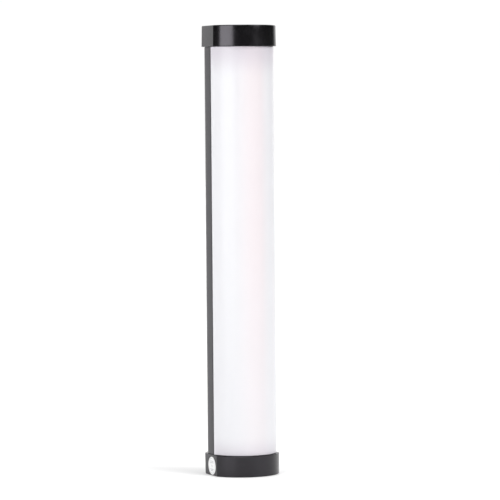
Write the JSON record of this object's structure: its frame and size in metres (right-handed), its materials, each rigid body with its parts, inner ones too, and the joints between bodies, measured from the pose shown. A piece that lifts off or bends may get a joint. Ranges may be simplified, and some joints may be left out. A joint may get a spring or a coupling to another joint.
{
  "type": "led light tube",
  "caption": "Battery LED light tube: opal diffuser front, black aluminium rail, moulded end caps, stand thread, display and keys on its flat back.",
  "frame": {"origin": "centre of the stand thread's mouth in the lower cap's end face, on the tube's axis", "axes": "+Z along the tube from the lower cap to the upper cap; the light shines towards -Y; the flat back with display and keys faces +Y"},
  "size_m": [0.0391, 0.0396, 0.255],
  "materials": {
    "anodised_rail": "fine satin black anodised extrusion",
    "opal_plastic": "satin opal polycarbonate",
    "black_moulding": "semi-gloss black injection moulding",
    "black_rubber": "matte silicone gasket",
    "black_steel": "black zinc plated steel",
    "nickel_plate": "nickel plate",
    "insert_brass": "turned brass",
    "label_paper": "printed label film",
    "dark_window": "smoked polycarbonate window",
    "key_plastic": "matte black moulded keys",
    "switch_plastic": "black nylon",
    "green_board": "solder-masked glass-epoxy board",
    "chip_plastic": "moulded chip package",
    "ferrite": "shielded ferrite inductor",
    "can_aluminium": "bright can",
    "bright_steel": "bright plated steel",
    "flex_film": "amber polyimide film",
    "raw_aluminium": "bare extruded aluminium",
    "pad_rubber": "silicone thermal pad",
    "white_board": "white solder mask on aluminium board",
    "warm_phosphor": "warm white lamp phosphor",
    "clear_lamp": "clear lamp window",
    "cool_phosphor": "cool white lamp phosphor",
    "white_plastic": "white reflector plastic",
    "cell_wrap": "heat-shrink sleeve over a steel can",
    "wire_cover": "silicone wire cover"
  },
  "bodies": {
    "tube_body": {"housing": "anodised_rail", "diffuser": "opal_plastic", "bottom_cap": "black_moulding", "top_cap": "black_moulding", "lower_gasket": "black_rubber", "upper_gasket": "black_rubber", "lower_cap_screws": "black_steel", "upper_cap_screws": "black_steel", "bottom_magnet": "nickel_plate", "top_magnet": "nickel_plate", "stand_insert": "insert_brass", "inspection_sticker": "label_paper", "display_lens": "dark_window", "display_module": "dark_window", "switch_bodies": "switch_plastic", "control_board": "green_board", "control_chips": "chip_plastic", "driver_board": "green_board", "inductors": "ferrite", "capacitors": "can_aluminium", "driver_chips": "chip_plastic", "board_spacers": "nickel_plate", "board_screws": "bright_steel", "usb_board": "green_board", "usb_socket": "bright_steel", "usb_tongue": "switch_plastic", "board_link": "flex_film", "led_carrier": "raw_aluminium", "thermal_pad": "pad_rubber", "led_board": "white_board", "warm_leds": "warm_phosphor", "rgb_leds": "clear_lamp", "cool_leds": "cool_phosphor", "reflector_wings": "white_plastic", "led_lead": "flex_film", "lower_cell": "cell_wrap", "upper_cell": "cell_wrap", "cell_cradles": "switch_plastic", "nickel_strips": "nickel_plate", "protection_board": "green_board", "battery_lead": "wire_cover"},
    "power_key": {"power_button": "key_plastic", "power_plunger": "switch_plastic"},
    "mode_key": {"mode_button": "key_plastic", "mode_plunger": "switch_plastic"},
    "down_key": {"down_button": "key_plastic", "down_plunger": "switch_plastic"},
    "up_key": {"up_button": "key_plastic", "up_plunger": "switch_plastic"}
  },
  "joints": [
    {"name": "power_press", "type": "slide", "parent": "tube_body", "child": "power_key", "axis": [0, -1, 0], "range_m": [0, 0.0004], "stiffness_N_per_m": 3000, "springref_m": -0.0003},
    {"name": "mode_press", "type": "slide", "parent": "tube_body", "child": "mode_key", "axis": [0, -1, 0], "range_m": [0, 0.0004], "stiffness_N_per_m": 3000, "springref_m": -0.0003},
    {"name": "down_press", "type": "slide", "parent": "tube_body", "child": "down_key", "axis": [0, -1, 0], "range_m": [0, 0.0004], "stiffness_N_per_m": 3000, "springref_m": -0.0003},
    {"name": "up_press", "type": "slide", "parent": "tube_body", "child": "up_key", "axis": [0, -1, 0], "range_m": [0, 0.0004], "stiffness_N_per_m": 3000, "springref_m": -0.0003}
  ]
}
